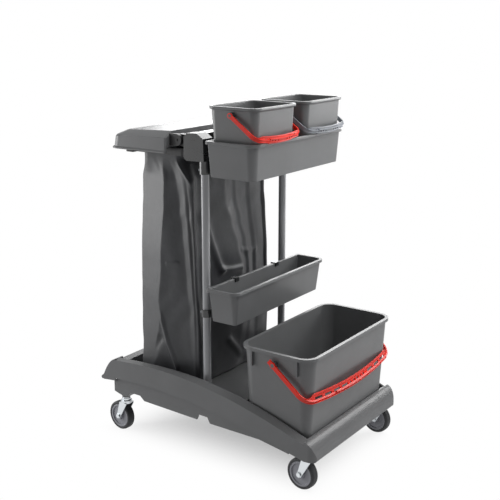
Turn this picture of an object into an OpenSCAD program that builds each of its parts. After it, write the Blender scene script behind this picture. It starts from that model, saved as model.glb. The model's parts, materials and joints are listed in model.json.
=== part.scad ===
// Janitor cart: a caster base, two posts, a lidded bag, two trays and three buckets.
// Millimetres, +Z up, +X towards the large bucket, origin on the floor under the base's middle.

/* [Casters] */
// Diameter of each wheel
wheel_d = 100; // [80:5:125]
// Width of each tyre
wheel_w = 28; // [24:1:32]
// Thickness of the rubber tyre
tyre_t = 10; // [6:1:14]
// Diameter of each axle
axle_d = 10; // [8:0.5:12]
// Diameter of each swivel stem
stem_d = 10; // [8:0.5:12]
// Distance from a swivel axis back to its axle
caster_trail = 24; // [20:1:30]
// Sheet thickness of the forks
fork_t = 2.5; // [2:0.25:3.5]
// Half length of the plate on top of a fork
fork_plate = 15.5; // [13:0.5:18]
// Space between a wheel and the fork above it
tyre_gap = 2.5; // [2:0.5:6]
// Height of the bearing crown and neck over the fork plate
crown_h = 15; // [12:1:20]
// Thickness of the flange on a stem
flange_t = 3.7; // [2:0.1:6]
// Length of a stem inside the base
stem_in = 15; // [10:1:20]
// Turn of the parked casters from straight back, in degrees
caster_turn = 5; // [0:1:30]

/* [Base] */
// Length of the bag bay, from the bag end wall to the posts
bag_bay_l = 354; // [325:1:400]
// Length of the bumper at the bag end
bag_bumper_l = 65; // [50:1:80]
// Length of the bumper at the bucket end
bucket_bumper_l = 37.5; // [32:0.5:50]
// Width of a side rail
rail_w = 18; // [14:0.5:24]
// Wall of the rails and bumpers
rail_t = 3; // [2:0.25:4]
// Wall of the base moulding
base_t = 4; // [3:0.25:5]
// Height of the deck over the caster seats
deck_rise = 88; // [78:1:110]
// Height of the bucket well's floor over the caster seats
well_rise = 26; // [22:1:34]
// Distance from the bucket to the step between deck and well
step_gap = 38; // [20:1:48]
// Radius of a post socket
socket_r = 18; // [16:0.5:24]
// Radius of the bucket end bumper's corners
bumper_r = 28; // [26:1:36]

/* [Posts and head] */
// Diameter of a post
post_d = 25; // [22:0.5:30]
// Wall of a post's tube
post_wall = 1.5; // [1:0.25:3]
// Distance from the base's inner wall in to a post's axis
post_inset = 31; // [26:1:50]
// Length of post inside its socket
post_in = 36; // [20:1:38]
// Length of post inside its head
head_in = 55; // [30:1:70]
// Height of a post head over its lower collar
head_h = 101; // [95:1:115]
// Length of a post head from its nose to the post's axis
head_nose = 61.5; // [58:0.5:80]
// Width of a post head
head_w = 47; // [40:1:60]
// Section length of the beam between the heads
beam_l = 40; // [30:1:44]
// Section height of the beam between the heads
beam_h = 34; // [20:1:36]
// Wall of the collars and clamps round a post
collar_t = 4.5; // [3:0.5:7]

/* [Lid and bag] */
// Distance from a head's nose to the hinge axis
hinge_reach = 30; // [28:1:40]
// Height of the hinge axis over a head's lower collar
hinge_rise = 75; // [70:1:80]
// Diameter of a hinge pin
hinge_pin_d = 8; // [6:0.5:10]
// Radius of the hinge knuckles
knuckle_r = 18; // [9:0.5:20]
// Thickness of a lid knuckle
knuckle_t = 12; // [8:0.5:16]
// Wall of the lid
lid_t = 3; // [2:0.25:4]
// Depth of the lid below the hinge axis
lid_drop = 42; // [38:1:50]
// Height of the lid's top over the hinge axis
lid_crown = 25; // [16:1:28]
// Fall of the lid's top towards the bag end
lid_fall = 10; // [0:1:14]
// Height of the lip round the lid
lid_lip_h = 6; // [4:0.5:10]
// Reach of the lid past the bag frame's end
lid_reach = 64; // [50:1:80]
// Reach of the lid past the bag frame's sides
lid_side = 40; // [30:1:50]
// Length of the bag frame
frame_l = 202; // [180:1:215]
// Width of the bag frame's bars
frame_b = 14; // [10:0.5:20]
// Height of the bag frame's bars
frame_h = 22; // [14:0.5:24]
// Wall of the bag's solid
bag_t = 1.5; // [1:0.25:3]
// Depth of the bag's main folds
fold_d = 15; // [5:1:20]

/* [Trays] */
// Depth of the middle tray
mid_tray_d = 114; // [95:1:130]
// Width of the middle tray
mid_tray_w = 524; // [460:1:560]
// Height of the middle tray
mid_tray_h = 109; // [80:1:130]
// Height of the middle tray's rim over the deck
mid_rise = 364; // [330:1:420]
// Depth of the top tray
top_tray_d = 180.5; // [176:0.5:205]
// Height of the top tray
top_tray_h = 109; // [90:1:120]
// Height of the top tray's rim over the deck
top_rise = 817; // [780:1:880]
// Wall of the trays
tray_t = 3; // [2:0.25:4]
// Floor of the trays
tray_floor = 4; // [3:0.25:6]
// Width of the lip round a tray
tray_lip = 7.5; // [5:0.5:10]
// Space between a post's axis and the trays' backs
tray_gap = 34; // [30:0.5:45]
// Height of a tray bracket's clamps
clamp_h = 24; // [18:1:30]
// Distance of a bracket's arms from the middle
arm_y = 115; // [80:1:150]
// Width of a bracket's arms
arm_w = 20; // [12:1:30]

/* [Large bucket] */
// Length of the bucket at its rim
bucket_l = 262; // [230:1:290]
// Width of the bucket at its rim
bucket_w = 524; // [480:1:560]
// Height of the bucket
bucket_h = 270; // [240:1:300]
// Wall of the bucket
bucket_t = 3; // [2:0.25:4]
// Width of the bucket's rim
bucket_lip = 8; // [6:0.5:12]
// Draw-in of each wall from rim to floor
bucket_draft = 15; // [10:0.5:18]
// Depth of the bail's pivots below the rim
bucket_pivot = 38; // [30:1:50]
// Diameter of a bail pivot
bucket_pin_d = 12; // [9:0.5:14]
// Thickness of the bail's strap
bail_t = 5; // [4:0.25:6]
// Width of the bail's arms
bail_arm_w = 14; // [10:0.5:18]
// Width of the bail's grip
bail_grip_w = 23; // [18:0.5:26]
// Angle of the hanging bail below level, in degrees
bail_hang = 39; // [32:1:42]

/* [Small buckets] */
// Length of a small bucket at its rim
pail_l = 182; // [165:1:190]
// Width of a small bucket at its rim
pail_w = 231; // [205:1:245]
// Height of a small bucket
pail_h = 208; // [180:1:230]
// Wall of a small bucket
pail_t = 2.5; // [2:0.25:4]
// Width of a small bucket's rim
pail_lip = 7; // [5:0.5:9]
// Draw-in of each wall from rim to floor
pail_draft = 11; // [8:0.5:13]
// Depth of the bail's pivots below the rim
pail_pivot = 24; // [20:1:30]
// Diameter of a bail pivot
pail_pin_d = 10; // [8:0.5:11]
// Thickness of the bail's strap
pail_bail_t = 4; // [3:0.25:5]
// Width of the bail's arms
pail_arm_w = 12; // [9:0.5:14]
// Width of the bail's grip
pail_grip_w = 18; // [14:0.5:22]
// Angle of the hanging bail below level, in degrees
pail_hang = 36; // [32:1:38]
// Space between the two small buckets' rims
pail_space = 41; // [36:1:60]
// Space from the near bucket's foot to the tray's near wall
pail_side = 8; // [4:0.5:14]
// Space from the far bucket's foot to the tray's far wall
pail_far_side = 10; // [8:0.5:30]

/* [Hidden] */

// Colours of the materials
grey = "#8f9194";
dark = "#3a3b3d";
black = "#1d1d1f";
red = "#c2332b";
pale = "#c9cacc";
zinc = "#b9bcc0";

// Clearance between neighbours that do not touch
gap = 0.3;
// Radial play of a pin or tube in its bore
fit = 0.05;
// Overlap that joins two shapes of one piece
sink = 1;
// Segments of a rounded corner, of a rail and of a profile curve
arc_n = 8;
rail_n = 24;
curve_n = 10;
$fn = 64;

// Caster heights from the floor
axle_z = wheel_d / 2;
fork_z0 = wheel_d + tyre_gap;
fork_z1 = fork_z0 + fork_t;
neck_z = fork_z1 + crown_h;
flange_z = neck_z + gap;
seat_z = flange_z + flange_t;
crown_r = 19;
neck_r = 14;
neck_h = 8;
flange_r = 12;
rivet_r = stem_d / 2 + 2.5;
rivet_t = 3.6;
hub_half = wheel_w / 2 + 1.7;
leg_y0 = hub_half + 0.2;
leg_y1 = leg_y0 + fork_t;
eye_r = 9;
fork_sweep = max(norm([fork_plate, leg_y1]), crown_r);

// Lengths along the cart, from the bag end
bucket_play = 3;
lift_gap = 4;
tub_l = bag_bay_l + tray_gap + mid_tray_d + lift_gap + bucket_l - bucket_lip - bucket_draft
  + bucket_play + base_t;
cart_l = bag_bumper_l + tub_l + bucket_bumper_l;
base_x0 = -cart_l / 2;
base_x1 = cart_l / 2;
tub_x0 = base_x0 + bag_bumper_l;
tub_x1 = tub_x0 + tub_l;
post_x = tub_x0 + bag_bay_l;
tray_x0 = post_x + tray_gap;
bucket_x0 = tray_x0 + mid_tray_d + lift_gap;
bucket_x1 = bucket_x0 + bucket_l;
bucket_x = (bucket_x0 + bucket_x1) / 2;
step_x = bucket_x0 + bucket_lip + bucket_draft - step_gap;

// Half widths across the cart
bucket_hy = bucket_w / 2;
tub_play = 7;
tub_in = bucket_hy - bucket_lip - bucket_draft + tub_play;
tub_y = tub_in + base_t;
tub_mid = tub_in + base_t / 2;
cart_hy = tub_y + rail_w;
skirt_y = tub_y + rail_w * 0.45;
shoulder_y = tub_in - 16;
post_y = tub_in - post_inset;

// Heights of the base
deck_z = seat_z + deck_rise;
well_z = seat_z + well_rise;
wall_low = deck_z - 34;
socket_z0 = deck_z - post_in - 6;
bucket_end_z = seat_z + 44;
bag_end_z = deck_z + 50;
bag_mid_z = deck_z + 29;
bumper_low = seat_z - 19;

// Control heights of a side rail, from the bag end to the bucket end
rail_x = [tub_x0, tub_x0 + 0.31 * tub_l, tub_x0 + 0.595 * tub_l, tub_x1];
arris_z = [deck_z + 46, deck_z + 70, deck_z + 52, seat_z + 33];
rim_z = [bag_end_z, deck_z + 66, deck_z + 78, bucket_end_z];
low_z = [deck_z - 19, deck_z - 4, deck_z - 28, seat_z - 20];
rail_lip_h = 14;
web_z0 = 9;
web_z1 = 15;

// Caster places: near and far at the bag end, then near and far at the bucket end
caster_y = cart_hy - rail_t - fork_sweep - 3 * gap;
bag_caster_x = tub_x0 + 21.5;
bucket_caster_x = base_x1 - fork_sweep - 11.5;
caster_at = [[bag_caster_x, -caster_y], [bag_caster_x, caster_y],
  [bucket_caster_x, -caster_y], [bucket_caster_x, caster_y]];
seat_r = 17;
block_z = seat_z + 8;
block_l = 62.5;
block_out = 14.5;
boss_h = 31;
block_half = 18;
foot_half = 20;
foot_boss_r = 13;

// Screws of the base: shares of the rail's length, and places across the ends
screw_r = 2;
screw_head_r = 4;
screw_head_t = 2;
screw_t = [0.1, 0.35, 0.57];
bag_screw_y = [-160, 0, 160];
bucket_screw_y = [-120, 120];
bag_screw_z = deck_z + 19;
bucket_screw_z = seat_z + 11;

// Trays and brackets
mid_z = deck_z + mid_rise;
mid_z0 = mid_z - mid_tray_h;
top_z = deck_z + top_rise;
top_z0 = top_z - top_tray_h;
tray_lip_h = 10;
mid_draft = [2, 11, 14];
top_draft = [3, 7, 9];
pail_foot = pail_w / 2 - pail_lip - pail_draft;
tray_side = tray_lip + top_draft[2] + tray_t;
top_tray_hy = tray_side + pail_foot + (pail_side + pail_far_side + pail_w + pail_space) / 2;
clamp_r = post_d / 2 + collar_t;
clamp_rise = 1;
ledge_t = 8;
ledge_l = 70;
hook_t = 3;
upright_t = 6;
clamp_screw_r = 3;
clamp_head_r = 5;
clamp_head_t = 4;

// Head, hinge and bag frame
head_z = top_z0 + clamp_rise + clamp_h;
head_x0 = post_x - head_nose;
head_x1 = post_x + post_d / 2 + 2;
head_y0 = post_y - 22;
head_y1 = head_y0 + head_w;
post_z0 = deck_z - post_in;
post_z1 = head_z + head_in;
hinge_x = head_x0 - hinge_reach;
hinge_z = head_z + hinge_rise;
lug_y0 = post_y - 10;
lug_y1 = post_y + 10 - gap;
knuckle_y0 = post_y + 10;
knuckle_y1 = knuckle_y0 + knuckle_t;
frame_z1 = hinge_z - 30;
frame_z0 = frame_z1 - frame_h;
frame_x1 = head_x0 - 18;
frame_x0 = frame_x1 - frame_l;
frame_hy = post_y + 3;
frame_r = 12;
lid_x1 = hinge_x - 28;
lid_x0 = frame_x0 - lid_reach;
lid_hy = frame_hy + lid_side;
lid_z0 = hinge_z - lid_drop;
lid_z1 = hinge_z + lid_crown;
lid_lip = 8;
rest_l = 29;
rest_h = 6;

// Large bucket and its bail
bucket_z1 = well_z + bucket_h;
bucket_lip_h = 10;
bucket_pivot_z = bucket_z1 - bucket_pivot;
bucket_boss_y = bucket_hy + 0.5;
bail_y = bucket_boss_y + gap + bail_t / 2;
bail_front = 4;
bail_reach = (bucket_l / 2 + bail_front) / cos(bail_hang);
bail_corner = 45;
bail_bow = 1600;
bail_tail = 18;
bail_grip = 120;
rib_x = 80;

// Rise of a bail's grip over its strap
grip_rise = 0.5;

// Small buckets and their bails, which hang on the top tray's front rim
top_tray_x1 = tray_x0 + top_tray_d;
pail_play = 0.4;
pail_x = top_tray_x1 - tray_lip - tray_t - top_draft[1] - pail_play - pail_l / 2 + pail_lip + pail_draft;
pail_z0 = top_z0 + tray_floor;
pail_z1 = pail_z0 + pail_h;
pail_hy = pail_w / 2;
pail_near_y = tray_side + pail_side + pail_foot - top_tray_hy;
pail_far_y = pail_near_y + pail_w + pail_space;
pail_lip_h = 9;
pail_pivot_z = pail_z1 - pail_pivot;
pail_boss_y = pail_hy + 0.5;
pail_bail_y = pail_boss_y + gap + pail_bail_t / 2;
pail_corner = 30;
pail_bow = 600;
pail_grip = 62;
pail_sag = pail_bow - sqrt(pail_bow * pail_bow - pail_grip * pail_grip);
pail_reach = (top_tray_x1 + gap - pail_x + pail_grip_w / 2 * sin(pail_hang)) / cos(pail_hang)
  + pail_bail_t / 2 + grip_rise + pail_sag;

// Box between two corners
module span(a, b) { translate(a) cube(b - a); }

// Outline drawn in x and z, as thick as the space from y0 to y1
module xz(y0, y1) { translate([0, y1, 0]) rotate([90, 0, 0]) linear_extrude(y1 - y0) children(); }

// The same shape on the far side and the near side
module sides() {
  children();
  mirror([0, 1, 0]) children();
}

// Point of a cubic curve
function cubic(c, t) = c[0] * pow(1 - t, 3) + 3 * c[1] * t * pow(1 - t, 2)
  + 3 * c[2] * t * t * (1 - t) + c[3] * pow(t, 3);
function cubic_line(x, z, n) = [for (i = [0:n]) [cubic(x, i / n), cubic(z, i / n)]];
function turned(points) = [for (i = [len(points) - 1:-1:0]) points[i]];

// Rounded rectangle at height z, with radius rb at its -X corners and rf at its +X corners
function corner(cx, cy, r, a, z) =
  [for (i = [0:arc_n]) [cx + r * cos(a + 90 * i / arc_n), cy + r * sin(a + 90 * i / arc_n), z]];
function plan(x0, x1, hy, rb, rf, z) = concat(
  corner(x1 - rf, hy - rf, rf, 0, z), corner(x0 + rb, hy - rb, rb, 90, z),
  corner(x0 + rb, rb - hy, rb, 180, z), corner(x1 - rf, rf - hy, rf, 270, z));
function inset_plan(x0, x1, hy, rb, rf, z, back, front, side) =
  plan(x0 + back, x1 - front, hy - side, max(rb - back, 2), max(rf - front, 2), z);
function flat(points) = [for (p = points) [p.x, p.y]];

// Solid through a row of rings that have the same count of points. From the ring named back on, the
// facets lean the other way, so that the inside of a thin wall follows its outside.
function ring_at(n, k, i) = k * n + i % n;
module loft(rings, back = 1000) {
  n = len(rings[0]);
  last = len(rings) - 1;
  polyhedron(
    points = [for (ring = rings) for (p = ring) p],
    faces = concat(
      [[for (i = [0:n - 1]) i]],
      [for (k = [0:last - 1]) for (i = [0:n - 1])
        [ring_at(n, k, i), ring_at(n, k + 1, i), ring_at(n, k < back ? k + 1 : k, i + 1)]],
      [for (k = [0:last - 1]) for (i = [0:n - 1])
        [ring_at(n, k < back ? k : k + 1, i), ring_at(n, k + 1, i + 1), ring_at(n, k, i + 1)]],
      [[for (i = [n - 1:-1:0]) last * n + i]]));
}

// Open moulded vessel with a solid lip; draft is the draw-in of its back, front and sides
module vessel(x0, x1, hy, z0, z1, lip, lip_h, wall, floor_t, draft, rb, rf) {
  in = lip + wall;
  loft([
    inset_plan(x0, x1, hy, rb, rf, z0, lip + draft[0], lip + draft[1], lip + draft[2]),
    inset_plan(x0, x1, hy, rb, rf, z1 - lip_h, lip, lip, lip),
    plan(x0, x1, hy, rb, rf, z1 - lip_h),
    plan(x0, x1, hy, rb, rf, z1),
    inset_plan(x0, x1, hy, rb, rf, z1, in, in, in),
    inset_plan(x0, x1, hy, rb, rf, z0 + floor_t, in + draft[0], in + draft[1], in + draft[2])]);
}

// Outlines of the base's walls
rim_line = cubic_line(rail_x, rim_z, rail_n);
low_line = cubic_line(rail_x, low_z, rail_n);
skirt_end = tub_x1 - 50;
function skirt_line(rise) = [for (p = low_line) if (p.x < skirt_end) [p.x, p.y + rise]];

module tub_side() {
  polygon(concat(rim_line, [[tub_x1, well_z - base_t], [step_x, well_z - base_t], [step_x, wall_low],
    [tub_x0, wall_low]]));
}

module skirt_side() {
  polygon(concat(skirt_line(web_z1), [[tub_x1 - 60, seat_z - 16], [tub_x1 - 168, seat_z + 2],
    [post_x + 40.5, seat_z + 4], [post_x + 30.5, seat_z + 23], [post_x - 3.5, seat_z + 24],
    [post_x - 11.5, seat_z + 5], [tub_x0 + 118.5, seat_z + 12], [tub_x0 + 100.5, seat_z + 27],
    [tub_x0, seat_z + 27]]));
}

// Hollow block over a caster at the bag end; it reaches out under the bumper and tapers to the caster's seat
module block_side() {
  x0 = tub_x0 - block_out;
  x1 = tub_x0 + block_l;
  ledge_z = deck_z - 31;
  polygon([[x0, ledge_z], [x0, block_z + 10], [bag_caster_x - 8, block_z + 2], [bag_caster_x + 22, block_z],
    [x1 - 6, block_z + 18], [x1, block_z + 19], [x1, deck_z - base_t / 2], [tub_x0, deck_z - base_t / 2],
    [tub_x0, ledge_z]]);
}

module bag_caster_block() {
  y0 = caster_y - block_half;
  difference() {
    xz(y0, skirt_y) block_side();
    xz(y0 + base_t, skirt_y - base_t) offset(delta = -base_t) block_side();
  }
  translate([bag_caster_x, caster_y, seat_z]) cylinder(r1 = seat_r - 3, r2 = seat_r, h = boss_h);
}

module bucket_caster_foot() {
  x0 = bucket_caster_x - foot_half;
  span([x0, caster_y - foot_boss_r - sink, seat_z], [bucket_caster_x + foot_half, skirt_y, seat_z + base_t]);
  translate([bucket_caster_x, caster_y, seat_z]) cylinder(r = foot_boss_r, h = stem_in + sink);
  span([x0 - 4, caster_y - base_t / 2, seat_z], [tub_x1 - sink, caster_y + base_t / 2, well_z - sink]);
}

// One pan screw along +Z, its head below z = 0
module screw(length) {
  translate([0, 0, -screw_head_t]) cylinder(r = screw_head_r, h = screw_head_t);
  translate([0, 0, -sink]) cylinder(r = screw_r, h = length + sink);
}

// Places of the screws that hold the rails and bumpers
module rail_screws() {
  for (t = screw_t)
    translate([cubic(rail_x, t), tub_in, cubic(rim_z, t) - rail_lip_h / 2]) rotate([-90, 0, 0]) children();
}

module bag_bumper_screws() {
  for (y = bag_screw_y) translate([tub_x0 + base_t, y, bag_screw_z]) rotate([0, -90, 0]) children();
}

module bucket_bumper_screws() {
  for (y = bucket_screw_y) translate([tub_x1 - base_t, y, bucket_screw_z]) rotate([0, 90, 0]) children();
}

module screw_hole() {
  translate([0, 0, -2 * sink]) cylinder(r = screw_r + fit, h = base_t + rail_t + 4 * sink);
}

module chassis() {
  color(grey) difference() {
    union() {
      sides() {
        xz(tub_in, tub_y) tub_side();
        xz(skirt_y - base_t, skirt_y) skirt_side();
        xz(tub_in + sink, skirt_y - sink) polygon(concat(skirt_line(web_z1), turned(skirt_line(web_z0))));
        bag_caster_block();
        bucket_caster_foot();
        translate([post_x, post_y, socket_z0]) cylinder(r = socket_r, h = deck_z - socket_z0);
        span([tub_x0, shoulder_y, wall_low], [tub_x0 + base_t, tub_mid, bag_end_z]);
      }
      span([tub_x0 + sink, -tub_mid, deck_z - base_t], [step_x + base_t, tub_mid, deck_z]);
      span([step_x, -tub_mid, well_z - base_t], [step_x + base_t, tub_mid, deck_z]);
      span([step_x, -tub_mid, well_z - base_t], [tub_x1 - sink, tub_mid, well_z]);
      span([tub_x0, -tub_mid, wall_low], [tub_x0 + base_t, tub_mid, bag_mid_z]);
      span([tub_x1 - base_t, -tub_mid, seat_z], [tub_x1, tub_mid, bucket_end_z]);
    }
    for (p = caster_at)
      translate([p.x, p.y, seat_z - sink]) cylinder(r = stem_d / 2 + fit, h = stem_in + 3 * sink);
    sides() translate([post_x, post_y, post_z0]) cylinder(r = post_d / 2 + fit, h = deck_z);
    sides() rail_screws() screw_hole();
    bag_bumper_screws() screw_hole();
    bucket_bumper_screws() screw_hole();
  }
}

// Channel that runs along the far side of the base
function rail_ring(t) = let (
    x = cubic(rail_x, t), a = cubic(arris_z, t), m = cubic(rim_z, t), b = cubic(low_z, t))
  [[x, cart_hy, b], [x, cart_hy, a], [x, tub_y, m], [x, tub_y, m - rail_lip_h],
    [x, tub_y + rail_t, m - rail_lip_h], [x, tub_y + rail_t, m - rail_t],
    [x, cart_hy - rail_t, a - rail_t], [x, cart_hy - rail_t, b]];

module rail() {
  difference() {
    loft([for (i = [0:rail_n]) rail_ring(i / rail_n)]);
    rail_screws() screw_hole();
  }
}

module far_rail() { color(grey) rail(); }

module near_rail() { color(grey) mirror([0, 1, 0]) rail(); }

// Bumper at the bag end: a sloping skin with a lip, raised at both ends, and a flange on the end wall
function bag_slope(dx, dz) = cubic_line(
  [tub_x0, tub_x0 - 0.34 * bag_bumper_l + dx, tub_x0 - 0.65 * bag_bumper_l + dx, base_x0 + 12 + dx],
  [bag_end_z - dz, bag_end_z - 4 - dz, deck_z + 10 - dz, deck_z - 14 - dz], curve_n);

module bag_bumper_profile() {
  polygon(concat(bag_slope(0, 0), [[base_x0 + 2, deck_z - 22], [base_x0, deck_z - 27],
    [base_x0 + 4, deck_z - 32], [base_x0 + 14, deck_z - 32.5], [tub_x0, deck_z - 27]]));
}

module bag_end_bumper() {
  flange_y = tub_in - 6;
  color(grey) difference() {
    union() {
      difference() {
        xz(-cart_hy, cart_hy) bag_bumper_profile();
        xz(rail_t - cart_hy, cart_hy - rail_t)
          polygon(concat([[tub_x0 + sink, bag_end_z - rail_t]], bag_slope(rail_t, rail_t),
            [[base_x0 + 16, deck_z - 50], [tub_x0 + sink, deck_z - 50]]));
        span([base_x0, -shoulder_y, bag_mid_z], [tub_x0 + sink, shoulder_y, bag_end_z + sink]);
      }
      intersection() {
        xz(-cart_hy, cart_hy) bag_bumper_profile();
        union() {
          span([base_x0, -shoulder_y - sink, bag_mid_z - rail_t], [tub_x0, shoulder_y + sink, bag_mid_z]);
          sides() span([base_x0, shoulder_y, deck_z], [tub_x0, shoulder_y + rail_t, bag_end_z]);
        }
      }
      span([tub_x0 - rail_t, -flange_y, deck_z + 8], [tub_x0, flange_y, bag_mid_z - sink]);
    }
    bag_bumper_screws() screw_hole();
  }
}

// Bumper at the bucket end: a rounded nose with a lip, ribs and a flange under the well
module bucket_nose(x, z, inner, r, lift) {
  intersection() {
    xz(-cart_hy, cart_hy) polygon(concat(cubic_line(x, z, curve_n), inner));
    translate([0, 0, bumper_low - 2 * sink]) linear_extrude(bucket_end_z - bumper_low + 4 * sink)
      polygon(flat(plan(tub_x0, base_x1 - lift, cart_hy - lift, r, r, 0)));
  }
}

module bucket_end_bumper() {
  rib_y = 170;
  flange_x = tub_x1 + rail_t;
  color(grey) difference() {
    union() {
      difference() {
        bucket_nose([tub_x1, tub_x1 + 14, base_x1 - 7.5, base_x1 - 2],
          [bucket_end_z, bucket_end_z, seat_z + 22, seat_z - 6],
          [[base_x1, seat_z - 12], [base_x1 - 5, bumper_low], [tub_x1, bumper_low]], bumper_r, 0);
        bucket_nose([tub_x1 - sink, tub_x1 + 11, base_x1 - 12, base_x1 - 6.5],
          [bucket_end_z - base_t, bucket_end_z - base_t, seat_z + 19, seat_z - 6],
          [[base_x1 - 9, bumper_low - sink], [tub_x1 - sink, bumper_low - sink]], bumper_r - rail_t, rail_t);
      }
      for (y = [-rib_y, 0, rib_y])
        xz(y - 2, y + 2) polygon(concat(
          cubic_line([tub_x1, tub_x1 + 12, base_x1 - 10, base_x1 - 4],
            [bucket_end_z - sink, bucket_end_z - sink, seat_z + 20, seat_z - 6], curve_n),
          [[base_x1 - 7, bumper_low + sink], [tub_x1, seat_z + 3]]));
      span([tub_x1, -rib_y, seat_z + 3], [flange_x, rib_y, seat_z + 19]);
    }
    bucket_bumper_screws() screw_hole();
  }
}

module base_screws() {
  color(dark) {
    sides() rail_screws() screw(base_t + rail_t);
    bag_bumper_screws() screw(base_t + rail_t);
    bucket_bumper_screws() screw(base_t + rail_t);
  }
}

// Tube post on the far side
module post() {
  translate([post_x, post_y, post_z0]) difference() {
    cylinder(d = post_d, h = post_z1 - post_z0);
    translate([0, 0, -sink]) cylinder(r = post_d / 2 - post_wall, h = post_z1 - post_z0 + 2 * sink);
  }
}

module far_post() { color(grey) post(); }

module near_post() { color(grey) mirror([0, 1, 0]) post(); }

// Moulded head on the far post, with the lug that carries the lid's hinge
module head() {
  z1 = head_z + head_h;
  difference() {
    union() {
      xz(head_y0, head_y1) polygon([[head_x0, head_z + 23], [head_x0, z1 - 16], [head_x0 + 12, z1 - 2],
        [post_x - 11.5, z1], [head_x1 - 2, z1 - 16], [head_x1, head_z + 17], [head_x0 + 10, head_z + 15]]);
      translate([post_x, post_y, head_z]) cylinder(r = clamp_r, h = 30);
      xz(lug_y0, lug_y1) polygon([[hinge_x, hinge_z - knuckle_r], [head_x0 + sink, hinge_z - knuckle_r - 4],
        [head_x0 + sink, hinge_z + knuckle_r - 2], [hinge_x, hinge_z + knuckle_r]]);
      translate([hinge_x, lug_y1, hinge_z]) rotate([90, 0, 0]) cylinder(r = knuckle_r, h = lug_y1 - lug_y0);
    }
    translate([post_x, post_y, head_z - sink]) cylinder(r = post_d / 2 + fit, h = head_in + sink + gap);
    hinge_bore();
  }
}

module hinge_bore() {
  translate([hinge_x, knuckle_y1 + 5, hinge_z]) rotate([90, 0, 0])
    cylinder(r = hinge_pin_d / 2 + fit, h = knuckle_y1 - lug_y0 + 10);
}

module far_head() { color(grey) head(); }

module near_head() { color(grey) mirror([0, 1, 0]) head(); }

// Hollow beam between the heads
module top_beam() {
  x0 = post_x - 53.5;
  z0 = head_z + 63;
  color(grey) difference() {
    span([x0, -head_y0, z0], [x0 + beam_l, head_y0, z0 + beam_h]);
    span([x0 + rail_t, -head_y0 - sink, z0 + rail_t],
      [x0 + beam_l - rail_t, head_y0 + sink, z0 + beam_h - rail_t]);
  }
}

module hinge_pins() {
  pin_y0 = lug_y0 - gap;
  color(dark) sides() translate([hinge_x, knuckle_y1 + 2, hinge_z]) rotate([90, 0, 0]) {
    cylinder(d = hinge_pin_d, h = knuckle_y1 + 2 - pin_y0);
    translate([0, 0, knuckle_y1 + 2 - pin_y0]) cylinder(r = hinge_pin_d / 2 + 2, h = 3);
  }
}

// Sloping lid shell with a flared lip and a knuckle at each side
function lid_ring(x0, hy, r, z) = plan(x0, lid_x1, hy, r, 6, z);
function lid_inside(x0, hy, r, z) = plan(x0, lid_x1 - lid_t, hy, r, 4, z);
function fallen(ring, fall) =
  [for (p = ring) [p.x, p.y, p.z - fall * (lid_x1 - p.x) / (lid_x1 - lid_x0)]];

module lid() {
  t = lid_t;
  z_lip = lid_z0 + lid_lip_h;
  z_mid = lid_z1 - 19;
  mid_fall = 0.6 * lid_fall;
  color(grey) difference() {
    union() {
      difference() {
        loft([
          fallen(lid_inside(lid_x0 + 38 + t, lid_hy - 33 - t, 18, lid_z1 - t), lid_fall),
          fallen(lid_inside(lid_x0 + 6 + t, lid_hy - 2 - t, 26, z_mid), mid_fall),
          lid_inside(lid_x0 + lid_lip, lid_hy - lid_lip, 24, z_lip),
          lid_inside(lid_x0 + lid_lip, lid_hy - lid_lip, 24, lid_z0),
          lid_ring(lid_x0 - lid_lip, lid_hy + 2, 34, lid_z0),
          lid_ring(lid_x0 - lid_lip, lid_hy + 2, 34, z_lip - 2),
          lid_ring(lid_x0, lid_hy - 1, 30, z_lip + 2),
          fallen(lid_ring(lid_x0 + 6, lid_hy - 2, 30, z_mid), mid_fall),
          fallen(lid_ring(lid_x0 + 32, lid_hy - 27, 24, lid_z1 - 3), lid_fall),
          fallen(lid_ring(lid_x0 + 38, lid_hy - 33, 20, lid_z1), lid_fall)]);
        span([lid_x1 - 3 * t, lid_lip - lid_hy, lid_z0 - sink],
          [lid_x1 + sink, lid_hy - lid_lip, frame_z1 + 5]);
      }
      sides() {
        span([lid_x1 - t / 2, knuckle_y0, hinge_z - knuckle_r], [hinge_x, knuckle_y1, hinge_z + knuckle_r]);
        translate([hinge_x, knuckle_y1, hinge_z]) rotate([90, 0, 0]) cylinder(r = knuckle_r, h = knuckle_t);
      }
    }
    sides() hinge_bore();
  }
}

// Rests under the lid's edge, on the sides of the bag frame
module lid_rests() {
  x0 = frame_x0 + 2;
  z1 = lid_z0 - gap;
  color(black) sides() span([x0, frame_hy, z1 - rest_h], [x0 + rest_l, lid_hy, z1]);
}

// Hoop that the bag hangs in, with an arm onto each head
module bag_frame() {
  in = frame_b;
  color(dark) {
    translate([0, 0, frame_z0]) linear_extrude(frame_h) difference() {
      polygon(flat(plan(frame_x0, frame_x1, frame_hy, frame_r, frame_r, 0)));
      polygon(flat(inset_plan(frame_x0, frame_x1, frame_hy, frame_r, frame_r, 0, in, in, in)));
    }
    sides() span([frame_x1 - frame_b / 2, post_y - 19, frame_z0], [head_x0, post_y + 1, frame_z1]);
  }
}

// Hanging bag: an open shell that fills out below the hoop, with a few main folds down each side
bag_top = [frame_x0 + frame_b + gap, frame_x1 - frame_b - gap, frame_hy - frame_b - gap, frame_z1 - 2];
bag_neck = [bag_top[0], bag_top[1], bag_top[2], frame_z0 - 6];
bag_chest = [frame_x0 + 10, frame_x1 + 30, frame_hy - 3, frame_z0 - 88];
bag_waist = [frame_x0, frame_x1 + 40, frame_hy - 6, (frame_z0 + deck_z) / 2];
bag_foot = [frame_x0 - 16, frame_x1 + 38, frame_hy - 13, deck_z + gap];
bag_lift = 10;
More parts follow.
